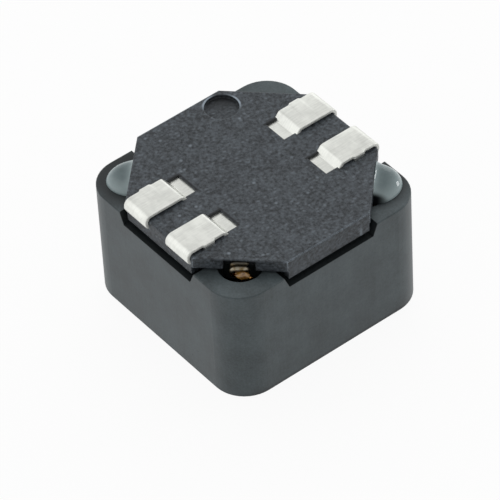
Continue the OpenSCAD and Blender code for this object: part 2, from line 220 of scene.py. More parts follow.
def ferriteFinish(name, look):
    f, tint = Finish(name), look["tint"]
    cloud, grain = f.noise(*look["cloud"]), f.noise(*look["grain"])
    lines = f.noise(*look["lines"], f.stretched(look["lineStretch"]))
    pits = f.step(f.cells(look["pitGap"]), *look["pitReach"])
    cloudPart, grainPart, linePart = look["toneParts"]
    tone = f.step(cloud * cloudPart + grain * grainPart + lines * linePart, *look["tone"])
    colour = f.blend(tone, grey(look["dark"], tint), grey(look["pale"], tint))
    colour = f.blend(pits * look["pitShare"], colour, grey(look["pitted"], tint))
    soft = f.softEdge(look["edgeR"])
    worn = f.edgeMask(soft, *look["edgeLean"]) * f.step(f.noise(*look["wearAndShine"]), *look["wearAndShinePatch"])
    colour = f.blend(worn * look["wearShare"], colour, grey(look["worn"], tint))
    x, y, high = [f.axis(number) for number in range(3)]
    # darker round the drops: epoxy wetting the horn tops, with painted shade round the drops and by the plate
    wets = [f.step(f.fromLine(*place), *reach) for place, reach in zip(look["wetted"], look["wetR"])]
    wetAndShaded = f.most(*wets) * f.step(high - body["hornTop"], *look["wetZ"])
    # painted shade on the notch floors and their leaning end walls
    along, above = f.sum("MINIMUM", f.absolute(x), f.absolute(y)), high - look["notchFloor"]
    room = above * look["notchLean"] + look["notchHalf"] - along   # to the notch's leaning end
    notch = f.step(room, *look["notchEdge"]) * f.step(above, *look["notchZ"])
    # painted shade along the foot of the +X side
    foot = f.step(high, *look["footZ"]) * f.step(x, *look["footX"])
    # one near-black colour for the epoxy wetting and for all the painted shade
    dampAndShade = f.most(wetAndShaded * look["wetShare"], notch * look["notchShare"], foot * look["footShare"])
    colour = f.blend(dampAndShade, colour, grey(look["dampAndShade"], tint))
    relief = f.bump(grain * look["grainRise"] + lines * look["lineRise"] - pits, look["relief"], soft)
    rough = f.swing(grain, look["grainRough"]) + f.swing(cloud, look["cloudRough"]) + look["rough"]
    return f.surface({"Base Color": colour, "Roughness": rough + pits * look["pitRough"], "Normal": relief,
                      "Specular IOR Level": look["specular"]})


# glass-filled moulding: near black, dense blasted grain, soft flecks of fibre, a few paler specks further
# apart, painted highlights in patches along the upper outer edges; the round mark has a smooth floor in
# painted shadow, darkest below the far wall, and a painted highlight on its far lip, and the laps beside
# and behind the terminals' lowered ends lie in painted shade
plateLook = {
    "tint": (0.85, 1.0, 1.15), "dark": 0.016, "pale": 0.080, "fleck": 0.18, "speck": 0.27, "edge": 0.45,
    "floor": 0.008, "shade": 0.006,
    "cloud": (0.9, 2.0), "grain": (0.15, 3.0, 0.65), "grainPart": 0.85, "tone": (0.37, 0.63),
    "fleckShare": 0.45, "speckShare": 0.55,
    "flecks": {"gap": 0.20, "stretch": (1.0, 0.7, 1.0), "turn": (0, 0, 0.6), "reach": (0.50, 0.10),
               "mix": (0.25, 1.0)},
    "specks": {"gap": 0.60, "stretch": (1.0, 1.0, 0.25), "turn": (0, 0, 0), "reach": (0.20, 0.07),
               "mix": (0.25, 0.95)},
    "edgeR": 0.11, "edgeLean": (0.01, 0.12), "wearAndShine": (0.4, 2.0), "wearAndShinePatch": (0.2, 0.5),
    "edgeZ": (6.9, 7.3), "edgeIn": (-0.18, -0.10),
    "mark": (-4.88, 1.95), "far": (-0.803, 0.596),   # the mark's middle, and the way to its far side
    "sunkR": (0.91, 0.88), "sunkZ": (-0.03, -0.10), "sunkSmooth": 0.7,
    "floorShadowRamp": (-0.25, 0.72), "floorShadowShares": (0.15, 0.75),
    "lipR": (1.02, 0.94), "lipZ": (-0.03, -0.01), "lipArc": (-0.25, 0.25, 0.7, 0.98), "lipShare": 0.8,
    "ends": (-1.65, 1.65), "shadeShare": 0.85,
    "besideX": (-0.855, -0.815, -0.695, -0.675), "besideY": (2.66, 2.70, 3.56, 3.60),
    "behindX": (-0.855, -0.815, 0.725, 0.765), "behindY": (-2.78, -2.76, -2.69, -2.65),
    "rough": 0.46, "grainRough": 0.18, "fleckRough": 0.08, "specular": 0.3,
    "relief": 0.014, "fleckRise": 0.5}


def plateFinish(name, look):
    f, tint = Finish(name), look["tint"]
    cloud, grain = f.noise(*look["cloud"]), f.noise(*look["grain"])
    flecks, specks = f.specks(look["flecks"]), f.specks(look["specks"])
    tone = f.step(grain * look["grainPart"] + cloud * (1 - look["grainPart"]), *look["tone"])
    colour = f.blend(tone, grey(look["dark"], tint), grey(look["pale"], tint))
    colour = f.blend(flecks * look["fleckShare"], colour, grey(look["fleck"], tint))
    colour = f.blend(specks * look["speckShare"], colour, grey(look["speck"], tint))
    x, y, high = [f.axis(number) for number in range(3)]
    soft = f.softEdge(look["edgeR"])
    # painted highlight in patches along the upper outer edges
    shine = f.edgeMask(soft, *look["edgeLean"]) * f.step(f.noise(*look["wearAndShine"]), *look["wearAndShinePatch"])
    outline = f.most(f.absolute(x) - body["plateX"], f.absolute(y) - body["plateY"])
    shine = shine * f.step(high, *look["edgeZ"]) * f.step(outline, *look["edgeIn"])
    colour = f.blend(shine, colour, grey(look["edge"], tint))
    # the round mark: its floor in painted shadow, darkest below the far wall, a painted highlight on its far
    # lip
    (markX, markY), (farX, farY) = look["mark"], look["far"]
    fromMark, deep = f.fromLine(markX, markY), high - body["plateTop"]
    side = (x - markX) * farX + (y - markY) * farY
    hollowShade = f.step(fromMark, *look["sunkR"]) * f.step(deep, *look["sunkZ"])
    least, gain = look["floorShadowShares"]
    floorShadow = f.step(side, *look["floorShadowRamp"]) * gain + least
    colour = f.blend(hollowShade * floorShadow, colour, grey(look["floor"], tint))
    # painted highlight on the far side of the lip
    lipHighlight = f.step(fromMark, *look["lipR"]) * f.step(deep, *look["lipZ"])
    lipHighlight = lipHighlight * f.band(side / fromMark, *look["lipArc"])
    colour = f.blend(lipHighlight * look["lipShare"], colour, grey(look["edge"], tint))
    for end in look["ends"]:
        across = x - end
        beside = f.band(across, *look["besideX"]) * f.band(f.absolute(y), *look["besideY"])
        behind = f.band(across, *look["behindX"]) * f.band(y, *look["behindY"])
        colour = f.blend(f.most(beside, behind) * look["shadeShare"], colour, grey(look["shade"], tint))
    height = (grain + flecks * look["fleckRise"]) * (1 - hollowShade * look["sunkSmooth"])
    relief = f.bump(height, look["relief"], soft)
    rough = f.swing(grain, look["grainRough"]) + look["rough"] - flecks * look["fleckRough"]
    return f.surface({"Base Color": colour, "Roughness": rough, "Normal": relief,
                      "Specular IOR Level": look["specular"]})


# tin plate: soft bright metal with rolling lines along the strip, a few dull smudges, amber flux on the
# tabs; dull on the sheared sides, where the attribute "cut" is 1
tinLook = {
    "tint": (0.985, 1.0, 0.945), "pale": 0.86, "dull": 0.70, "flux": (0.34, 0.17, 0.035, 1.0),
    "rolled": (0.05, 2.0, 0.5), "rolledStretch": (1.0, 0.06, 0.06), "smudge": (0.7, 3.0, 0.6),
    "smudgePart": 0.6, "tone": (0.36, 0.60),
    "fluxFrom": (6.09, 6.23), "fluxShare": 0.9,   # millimetres out along a corner's diagonal
    "rough": 0.33, "smudgeRough": 0.16, "rolledRough": 0.08, "cutRough": 0.2, "cutDull": 0.65,
    "relief": 0.003, "smudgeRise": 0.4}


def tinFinish(name, look):
    f, tint = Finish(name), look["tint"]
    rolled = f.noise(*look["rolled"], f.stretched(look["rolledStretch"]))
    smudge, cut = f.noise(*look["smudge"]), f.attribute("cut")
    tone = f.step(smudge * look["smudgePart"] + rolled * (1 - look["smudgePart"]), *look["tone"])
    colour = f.blend(tone, grey(look["dull"], tint), grey(look["pale"], tint))
    flux = f.step((f.absolute(f.axis(0)) + f.absolute(f.axis(1))) / rootTwo, *look["fluxFrom"])
    colour = f.blend(flux * look["fluxShare"], colour, look["flux"])
    relief = f.bump(rolled + smudge * look["smudgeRise"], look["relief"])
    rough = f.swing(smudge, look["smudgeRough"]) + f.swing(rolled, look["rolledRough"]) + look["rough"]
    return f.surface({"Base Color": colour, "Metallic": 1 - cut * look["cutDull"],
                      "Roughness": rough + cut * look["cutRough"], "Normal": relief, "Coat Weight": flux})


# enamelled copper that turns to dull solder-tinned wire where the attribute "tinned" is 1, duller up under
# the plate, and to amber rosin where "rosin" is 1
wireLook = {
    "copper": (0.62, 0.30, 0.055, 1.0), "deep": (0.30, 0.115, 0.018, 1.0),
    "tinned": (0.30, 0.268, 0.205, 1.0), "flux": (0.17, 0.125, 0.065, 1.0),
    "dull": (0.065, 0.060, 0.050, 1.0),
    "amber": (0.36, 0.185, 0.038, 1.0), "brown": (0.12, 0.050, 0.006, 1.0),
    "drawn": (0.16, 2.0), "copperTone": (0.3, 0.7), "raggedness": 0.5, "ragged": (0.38, 0.58),
    "stain": (0.22, 3.0), "stainTone": (0.46, 0.64), "dullZ": (7.34, 7.46),
    "clot": (0.20, 3.0), "clotTone": (0.38, 0.62), "lumps": (0.12, 2.0), "relief": 0.012,
    "rough": 0.20, "tinnedRough": 0.12, "drawnRough": 0.10, "coatRough": 0.08}


def wireFinish(name, look):
    f = Finish(name)
    tinned, rosin, drawn = f.attribute("tinned"), f.attribute("rosin"), f.noise(*look["drawn"])
    ragged = f.step(tinned + f.swing(drawn, look["raggedness"]), *look["ragged"])
    copper = f.blend(f.step(drawn, *look["copperTone"]), look["deep"], look["copper"])
    stained = f.blend(f.step(f.noise(*look["stain"]), *look["stainTone"]), look["tinned"], look["flux"])
    stained = f.blend(f.step(f.axis(2), *look["dullZ"]), stained, look["dull"])
    clotted = f.blend(f.step(f.noise(*look["clot"]), *look["clotTone"]), look["brown"], look["amber"])
    colour = f.blend(rosin, f.blend(ragged, copper, stained), clotted)
    relief = f.bump(drawn + rosin * f.noise(*look["lumps"]), look["relief"])
    rough = ragged * look["tinnedRough"] + drawn * look["drawnRough"] + look["rough"]
    return f.surface({"Base Color": colour, "Metallic": 1 - rosin, "Roughness": rough, "Normal": relief,
                      "Coat Weight": 1 - ragged, "Coat Roughness": look["coatRough"]})


# filled resin: grey with a green-blue cast, wet gloss, a little light inside; paler where the attribute "rim"
# is 1, a painted highlight towards the rim and by the plate; near black over the open well, a painted shade
resinLook = {
    "deep": (0.038, 0.062, 0.067, 1.0), "pale": (0.066, 0.096, 0.101, 1.0), "rim": (0.40, 0.49, 0.50, 1.0),
    "well": (0.004, 0.005, 0.006, 1.0), "dust": (0.5, 0.54, 0.54, 1.0),
    "cloud": (0.8, 3.0, 0.55), "tone": (0.36, 0.66),
    "dustGap": 0.09, "dustReach": (0.16, 0.05), "dustShare": 0.18,
    "ripple": (0.2, 2.0), "rippleRise": 0.3, "relief": 0.02,
    "rough": 0.10, "cloudRough": 0.12, "specular": 0.0, "coatRough": 0.07,
    "inside": 0.12, "insideR": (0.0003, 0.0004, 0.0004)}   # light inside: its share, its reach in metres


def resinFinish(name, look):
    f = Finish(name)
    cloud, hollowShade = f.noise(*look["cloud"]), f.attribute("hollowShade")
    dust = f.step(f.cells(look["dustGap"]), *look["dustReach"])
    colour = f.blend(f.step(cloud, *look["tone"]), look["deep"], look["pale"])
    colour = f.blend(dust * look["dustShare"], colour, look["dust"])
    # painted highlight towards the rim and in a band by the plate
    colour = f.blend(f.attribute("rim"), colour, look["rim"])
    # painted shade over the open well
    colour = f.blend(hollowShade, colour, look["well"])
    relief = f.bump(cloud + f.noise(*look["ripple"]) * look["rippleRise"], look["relief"])
    rough = cloud * look["cloudRough"] + look["rough"]
    return f.surface({"Base Color": colour, "Roughness": rough, "Normal": relief,
                      "Subsurface Weight": look["inside"], "Subsurface Radius": look["insideR"],
                      "Specular IOR Level": look["specular"], "Coat Weight": 1 - hollowShade,
                      "Coat Roughness": look["coatRough"]})


ferrite = ferriteFinish("ferrite", ferriteLook)
plate = plateFinish("platePlastic", plateLook)
tin = tinFinish("tinPlate", tinLook)
wire = wireFinish("enamelledCopper", wireLook)
resin = resinFinish("epoxyResin", resinLook)
print("finishes made")


# faces of a grid of points, numbered from first on, whose rows close round
def gridFaces(rows, columns, first):
    i, k = np.meshgrid(np.arange(rows - 1), np.arange(columns), indexing="ij")
    here, beside = i * columns + k, i * columns + (k + 1) % columns
    return first + np.stack([here, here + columns, beside + columns, beside], -1).reshape(-1, 4)


# one piece from several grids of points (rows, columns, 3) in millimetres, with a value per point for each
# attribute; mirrored grids have their faces flipped
def addPiece(name, grids, finish, replaced, values, flipped=False):
    faces, first = [], 0
    for grid in grids:
        rows, columns = grid.shape[:2]
        faces.append(gridFaces(rows, columns, first))
        first += rows * columns
    points = np.concatenate([grid.reshape(-1, 3) for grid in grids]) * mm
    faces = np.concatenate(faces)
    if flipped:
        faces = faces[:, ::-1]
    mesh = bpy.data.meshes.new(name)
    mesh.from_pydata(points.tolist(), [], faces.tolist())
    for key, value in values.items():
        mesh.attributes.new(key, "FLOAT", "POINT").data.foreach_set("value", value.astype(np.float32))
    work = bmesh.new()
    work.from_mesh(mesh)
    bmesh.ops.remove_doubles(work, verts=work.verts, dist=1e-8)   # closes seams and poles
    work.to_mesh(mesh)
    work.free()
    mesh.polygons.foreach_set("use_smooth", np.ones(len(mesh.polygons), dtype=bool))
    mesh.materials.append(finish)
    piece = bpy.data.objects.new(name, mesh)
    bpy.context.scene.collection.objects.link(piece)
    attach(piece, "root")
    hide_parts(*replaced)


# vectors brought to length 1
def unit(v):
    return v / np.linalg.norm(v, axis=-1, keepdims=True)


# slow start and slow end between 0 and 1
def ease(t):
    return t * t * (3 - 2 * t)


# the rings of a rounded end: their size, and how far in they lie as a share of its depth
endCap = {"size": np.array([0.0, 0.55, 0.85, 1.0]), "place": np.array([0.0, 0.25, 0.6, 1.0])}
capRings = len(endCap["size"])


# a profile (across, up) carried along a path with side and rise vectors; its ends shrink to points
def carry(path, side, rise, profile, depth):
    along, count = unit(np.gradient(path, axis=0)), len(path)
    back = depth * endCap["place"]
    size = np.concatenate([endCap["size"], np.ones(count - 2), endCap["size"][::-1]])
    where = np.concatenate([np.zeros(capRings, int), np.arange(1, count - 1), np.full(capRings, count - 1)])
    push = np.concatenate([back, np.zeros(count - 2), -back[::-1]])
    centre = path[where] + along[where] * push[:, None]
    across = side[where][:, None, :] * profile[None, :, :1] + rise[where][:, None, :] * profile[None, :, 1:]
    return centre[:, None, :] + across * size[:, None, None]


# points at equal angles round a circle
def circleProfile(radius, count):
    turn = np.linspace(0, 2 * np.pi, count, endpoint=False)
    return radius * np.stack([np.cos(turn), np.sin(turn)], -1)


# rectangle with quarter-round corners, counted round from the first corner
def stripProfile(width, thick, radius, count=4):
    turn = np.linspace(0, np.pi / 2, count)
    quarter = radius * np.stack([np.cos(turn), np.sin(turn)], -1)
    corner = np.array([[width / 2 - radius, thick / 2 - radius]])
    first = corner + quarter
    second = np.array([[-1, 1]]) * first[::-1]
    return np.concatenate([first, second, -first, -second])


# points on a flat arc from one angle to another, in degrees
def arcPoints(mid, radius, start, end, count):
    turn = np.radians(np.linspace(start, end, count))
    return np.array(mid) + radius * np.stack([np.cos(turn), np.sin(turn)], -1)


# cubic curve from the first knot to the last, drawn towards the two between
def cubicCurve(knots, count):
    t = np.linspace(0, 1, count)[:, None]
    ends = (1 - t) ** 3 * knots[0] + t ** 3 * knots[3]
    return ends + 3 * t * (1 - t) ** 2 * knots[1] + 3 * t * t * (1 - t) * knots[2]


# length along a path at each of its points
def runLength(path):
    return np.concatenate([[0], np.cumsum(np.linalg.norm(np.diff(path, axis=0), axis=1))])


# evenly spaced points along a polyline
def respaced(path, gap):
    run = runLength(path)
    places = np.linspace(0, run[-1], max(2, int(run[-1] / gap) + 1))
    return np.stack([np.interp(places, run, path[:, k]) for k in range(path.shape[1])], -1)


# running mean along a path, ends kept
def smoothed(path, reach):
    share = np.hanning(2 * reach + 3)[1:-1]
    share /= share.sum()
    padded = np.concatenate([np.repeat(path[:1], reach, 0), path, np.repeat(path[-1:], reach, 0)])
    even = np.stack([np.convolve(padded[:, k], share, "valid") for k in range(3)], -1)
    even[0], even[-1] = path[0], path[-1]
    return even


# a terminal in millimetres and degrees: strip, bends, lowered end, root, arm and tab, the wing that the pad
# swells out to, and how finely its lines are divided
strip = {"width": 1.75, "thick": 0.2, "pitch": 3.3, "edge": 0.05, "bend": 0.2, "padL": 1.84, "tailL": 0.74,
         "drop": 0.38, "angle": 50, "joggle": 0.08, "lowZ": 7.12, "rootL": 1.1,
         "slotIn": 0.46, "armIn": 0.2, "armPull": (0.9, 0.55), "tabW": 0.4, "tabIn": 0.06, "tabL": 0.7,
         "tabAngle": 24, "wingW": 0.66, "wingIn": 0.62, "wingOut": 0.09, "wingFoot": 0.03, "wingFade": 0.07,
         "wingCap": 0.03, "slack": 0.01,
         "joggleSteps": 10, "bendSteps": 14, "armSteps": 24, "gap": 0.03, "armGap": 0.06}
strip["padZ"] = body["padTop"] - strip["thick"]
strip["bendU"] = body["plateY"] - strip["bend"]   # where the pad ends and its bend starts


# middle line of a terminal from its side, as (u, z): lowered end, joggle, pad, bend, leg, bend, root
def stripLine(s):
    half, a = s["thick"] / 2, np.radians(s["angle"])
    midR, outR = s["joggle"] + half, s["bend"] + half
    slope = (s["drop"] - 2 * midR * (1 - np.cos(a))) / np.sin(a)
    run = 2 * midR * np.sin(a) + slope * np.cos(a)
    padU, padMid = s["bendU"] - s["padL"], s["padZ"] + half
    tailU, tailMid = padU - run, padMid - s["drop"]
    legZ = s["lowZ"] + s["thick"] + s["bend"]
    parts = [[[tailU - s["tailL"], tailMid]],
             arcPoints((tailU, tailMid + midR), midR, -90, s["angle"] - 90, s["joggleSteps"]),
             arcPoints((padU, padMid - midR), midR, 90 + s["angle"], 90, s["joggleSteps"]),
             arcPoints((s["bendU"], s["padZ"] - s["bend"]), outR, 90, 0, s["bendSteps"]),
             arcPoints((s["bendU"], legZ), outR, 0, -90, s["bendSteps"]),
             [[s["bendU"] - s["rootL"], s["lowZ"] + half]]]
    return np.concatenate(parts)


# the flat arm in the plate, a curve from the root to the corner's diagonal, and the tab bent down there
def armLine(s):
    x, u = s["pitch"] / 2 + s["width"] / 2 - s["tabW"] / 2, s["bendU"] - s["rootL"] / 2
    slot, a = body["cornerHalf"] - s["slotIn"], np.radians(s["tabAngle"])
    inner, knee = (slot - s["armIn"]) / rootTwo, (slot + s["tabIn"]) / rootTwo
    tip = knee + s["tabL"] * np.cos(a) / rootTwo
    pull, lead = s["armPull"]
    knots = np.array([[x, u], [x + pull, u - pull], [inner - lead, inner - lead], [inner, inner]])
    flat = np.concatenate([cubicCurve(knots, s["armSteps"]), [[knee, knee], [tip, tip]]])
    level = np.full(len(flat), s["lowZ"] + s["thick"] / 2)
    level[-1] -= s["tabL"] * np.sin(a)
    return np.column_stack([flat, level])


# the wing below the pad's bulge: its middle line along the pad's side, and its height
def wingLine(s):
    top, foot = s["padZ"] + s["thick"] / 2, s["lowZ"] + s["wingFoot"]
    x = s["pitch"] / 2 + s["width"] / 2 + s["wingOut"] - s["thick"] / 2
    start, middle = s["bendU"] - s["wingIn"], (top + foot) / 2
    return np.array([[x, start - s["wingW"], middle], [x, start, middle]]), top - foot


# three rounded rectangles, carried along the strip's line, the arm's line and the wing's line
def addTerminal(number, signX, signY, s):
    line = stripLine(s)
    path = respaced(np.column_stack([np.full(len(line), s["pitch"] / 2), line]), s["gap"])
    side = np.tile([1.0, 0.0, 0.0], (len(path), 1))
    rise = np.cross(side, unit(np.gradient(path, axis=0)))
    outline = stripProfile(s["width"], s["thick"], s["edge"])
    pad = carry(path, side, rise, outline, s["edge"])
    sheared = np.clip((np.abs(outline[:, 0]) - s["width"] / 2) / s["edge"] + 1, 0, 1)   # 1 on the sides
    # the pad's outer side swells where the wing is, and fades back past its ends
    fromWing = np.abs(pad[..., 1] - (s["bendU"] - s["wingIn"] - s["wingW"] / 2))
    swell = ease(np.clip((s["wingW"] / 2 + s["wingFade"] - fromWing) / (2 * s["wingFade"]), 0, 1))
    onPad, outerHalf = pad[..., 2] > s["padZ"] - s["slack"], pad[..., 0] > s["pitch"] / 2
    pad[..., 0] += s["wingOut"] * swell * onPad * outerHalf
    arm = respaced(armLine(s), s["armGap"])
    armAlong = unit(np.gradient(arm, axis=0))
    armSide = unit(np.cross(armAlong, np.array([0.0, 0.0, 1.0])))
    armOutline = stripProfile(s["tabW"], s["thick"], s["edge"])
    tab = carry(arm, armSide, np.cross(armSide, armAlong), armOutline, s["edge"])
    line, height = wingLine(s)
    line = respaced(line, s["gap"])
    across, upright = np.tile([1.0, 0.0, 0.0], (len(line), 1)), np.tile([0.0, 0.0, 1.0], (len(line), 1))
    wing = carry(line, across, upright, stripProfile(s["thick"], height, s["edge"]), s["wingCap"])
    signs = np.array([signX, signY, 1.0])
    cut = np.concatenate([np.tile(sheared, len(pad)), np.zeros(tab[..., 0].size + wing[..., 0].size)])
    addPiece(f"terminalStrip{number}", [part * signs for part in (pad, tab, wing)], tin,
             [f"terminal_{number}"], {"cut": cut}, flipped=signX * signY < 0)


for number, (signX, signY) in enumerate([(-1, 1), (-1, -1), (1, -1), (1, 1)], 1):
    addTerminal(number, signX, signY, strip)
print("terminals made")


# two wires side by side in millimetres and degrees: down the inner layer, up the outer, each end led up a
# corner and wrapped on its tab; "corner" is where the first wire starts
coil = {"wireD": 0.28, "gap": 0.02, "postR": 3.2, "clear": 0.07, "wrapClear": 0.02, "bendClear": 0.1,
        "windowLow": 1.3, "windowHigh": 5.2, "drop": 0.15, "swing": 1.6, "sweep": 45.0, "enter": 3.0,
        "corner": 135, "crossing": 54.0, "turnStep": 3.0, "bends": 7, "bendSteps": 7, "fallSteps": 40,
        "inwardSteps": 60, "spacing": 0.055, "evenOut": 2, "sides": 12, "cap": 0.05, "tinnedPart": 0.8,
        "tinFade": 0.3, "shortBy": 2}   # shortBy: turns that the outer layer has less than the inner
coil["pitch"] = 2 * (coil["wireD"] + coil["gap"])
coil["inner"] = coil["postR"] + coil["clear"] + coil["wireD"] / 2
coil["outer"] = coil["inner"] + coil["pitch"] / 2
coil["firstZ"] = coil["windowHigh"] - coil["drop"] - coil["wireD"] / 2
lowest = coil["windowLow"] + coil["clear"] + coil["wireD"] / 2 + coil["pitch"] / 2
coil["down"] = int((coil["firstZ"] - lowest) / coil["pitch"])
coil["up"] = coil["down"] - coil["shortBy"]


# a point s out along a corner's diagonal, q to its left and z up
def atCorner(angle, s, q, z):
    a = np.radians(angle)
    return np.stack([s * np.cos(a) - q * np.sin(a), s * np.sin(a) + q * np.cos(a), z + 0 * s], -1)


# a point at radius r and an angle round the middle, z up
def polar(r, angle, z):
    a = np.radians(angle)
    return np.stack([r * np.cos(a), r * np.sin(a), z + 0 * a], -1)


# a point by a bent-down tab: l along it from the bend, q across, h up from its middle
def byTab(corner, l, q, h, s):
    a, knee = np.radians(s["tabAngle"]), body["cornerHalf"] - s["slotIn"] + s["tabIn"]
    midZ = s["lowZ"] + s["thick"] / 2
    return atCorner(corner, knee + l * np.cos(a) + h * np.sin(a), q, midZ - l * np.sin(a) + h * np.cos(a))


# wraps: quarter bends at the tab's edges, moving outward; then a curve down the well, then a spiral inward
def leadLine(corner, hand, coilR, coilZ, c, s):
    wireR = c["wireD"] / 2
    bend = wireR + c["wrapClear"]
    edge, place = np.divmod(np.arange(c["bends"] * c["bendSteps"]), c["bendSteps"])
    bent = place / (c["bendSteps"] - 1)
    angle = np.radians(90 * (edge + bent))
    q = np.where((edge % 4 == 0) | (edge % 4 == 3), 1, -1) * s["tabW"] / 2 + bend * np.cos(angle)
    h = np.where(edge % 4 < 2, 1, -1) * s["thick"] / 2 + bend * np.sin(angle)
    wrapsDone = (edge + bent * 2 / 3) / 4   # two thirds of each quarter in its bend, the rest on the flat
    wraps = byTab(corner, c["bendClear"] + c["pitch"] / 2 * wrapsDone, -hand * q, h, s)
    reach = body["flangeR"] + wireR
    enter = polar(reach, np.array(corner + hand * c["enter"]), c["firstZ"])
    outward = atCorner(corner, np.array(c["wireD"]), -hand * c["swing"], 0.0)
    above = atCorner(corner, np.array(2 * c["wireD"]), -2 * hand * c["wireD"], c["swing"] * 2 / 3)
    fall = cubicCurve([wraps[-1], wraps[-1] + outward, enter + above, enter], c["fallSteps"])[1:]
    t = np.linspace(0, 1, c["inwardSteps"])[1:-1]
    inward = polar(reach + (coilR - reach) * (1 - (1 - t) ** 2),
                   corner + hand * (c["enter"] + (c["sweep"] - c["enter"]) * t),
                   c["firstZ"] + (coilZ - c["firstZ"]) * ease(np.clip(2 * t, 0, 1)))
    return wraps, np.concatenate([fall, inward])


# a helix down the inner layer, an eased step out at its foot, a helix up the outer layer, a lead at each end
def windingLine(corner, startZ, c, s):
    start, turn = corner + c["sweep"], c["corner"] + c["sweep"] + 360 * c["down"]
    end = corner + 180 - c["sweep"] + 360 * (c["down"] + c["up"])
    angle = np.arange(start, end + c["turnStep"] / 2, c["turnStep"])
    lowZ = startZ - c["pitch"] * (turn - start) / 360
    outward = ease(np.clip((angle - turn) / c["crossing"] + 0.5, 0, 1))
    radius = c["inner"] + (c["outer"] - c["inner"]) * outward
    turns = polar(radius, angle, lowZ + c["pitch"] * np.abs(angle - turn) / 360)
    firstWraps, firstLead = leadLine(corner, 1, c["inner"], startZ, c, s)
    lastWraps, lastLead = leadLine(corner + 180, -1, c["outer"], turns[-1, 2], c, s)
    path = np.concatenate([firstWraps, firstLead, turns, lastLead[::-1], lastWraps[::-1]])
    return path, runLength(firstWraps)[-1]


# a lump of rosin on the tip of an open tab: an ellipsoid whose radius wavers with both angles
lump = {"l": 0.70, "q": 0.17, "wide": 0.37, "thick": 0.21, "uneven": 0.10, "rows": 26, "columns": 40}


def rosinLump(corner, s, d):
    lat = np.linspace(0, np.pi, d["rows"])[:, None]
    lon = np.linspace(0, 2 * np.pi, d["columns"], endpoint=False)[None, :]
    waver = np.sin(3 * lon + 1.0) * np.sin(2 * lat) + np.sin(2 * lon + 4 * lat)
    size = 1 + d["uneven"] * np.sin(lat) * waver
    across, q = d["thick"] * size * np.sin(lat), d["q"] + d["wide"] * size * np.cos(lat)
    return byTab(corner, d["l"] + across * np.cos(lon), q, -across * np.sin(lon), s)


# a circle carried along the wire's line, tinned near both ends, with lumps of rosin on the open tabs
def addWinding(name, replaced, corner, startZ, c, s, lumps=()):
    path, wrapL = windingLine(corner, startZ, c, s)
    path = smoothed(respaced(path, c["spacing"]), c["evenOut"])
    outward = unit(path * np.array([1.0, 1.0, 0.0]))
    along = unit(np.gradient(path, axis=0))
    side = unit(outward - along * (outward * along).sum(-1, keepdims=True))
    tube = carry(path, side, np.cross(along, side), circleProfile(c["wireD"] / 2, c["sides"]), c["cap"])
    run = runLength(path)
    fromEnd = np.minimum(run, run[-1] - run)
    tinned = 1 - ease(np.clip((fromEnd - c["tinnedPart"] * wrapL) / c["tinFade"], 0, 1))
    rings = np.pad(tinned, capRings - 1, mode="edge")
    balls = [rosinLump(end, s, lump) for end in lumps]
    extra = sum(ball.shape[0] * ball.shape[1] for ball in balls)
    values = {"tinned": np.concatenate([np.repeat(rings, c["sides"]), np.zeros(extra)]),
              "rosin": np.concatenate([np.zeros(len(rings) * c["sides"]), np.ones(extra)])}
    addPiece(name, [tube] + balls, wire, [replaced], values)


firstCorner, nextCorner = coil["corner"], coil["corner"] - 90
secondZ = coil["firstZ"] - coil["pitch"] / 4   # so that it lies half a pitch below the first wire
openTabs = (firstCorner, firstCorner + 180)
addWinding("windingWireA", "winding_a", firstCorner, coil["firstZ"], coil, strip, lumps=openTabs)
addWinding("windingWireB", "winding_b", nextCorner, secondZ, coil, strip)
print("windings made:", coil["down"] + coil["up"] + 0.5 - coil["sweep"] / 180, "turns each")


# drops of epoxy on the horn tops, flat against the plate's cut corners and drawn up there; sizes about the
# drop's middle: reach out from the plate and along it, height, climb on the plate and its lean to one end,
# and how far along the open well's edge lies, where the painted shade begins (out of reach on the left)
leftDrop = {"corner": 225, "shift": -0.11, "out": 1.36, "along": 1.22, "high": 0.57,
            "climb": 0.16, "lean": 0.0, "well": 9.0}
rightDrop = {"corner": 45, "shift": 0.46, "out": 1.32, "along": 1.47, "high": 0.64,
             "climb": 0.22, "lean": 0.7, "well": 0.50}
# what both drops have in common: waver of the rim, gaps to plate and horn, bulge, width of the climb, width
# of the well's edge over which the painted shade fades in, and how the painted highlight builds up at the
# rim and by the plate
dropForm = {"waver": 0.03, "off": 0.003, "lift": 0.002, "bulge": (3, 0.62), "cling": 0.2, "wellFade": 0.25,
            "wellOut": 1.2, "rimPower": 3.5, "rimShare": 0.85, "clingShare": 0.5, "rows": 40, "columns": 120}


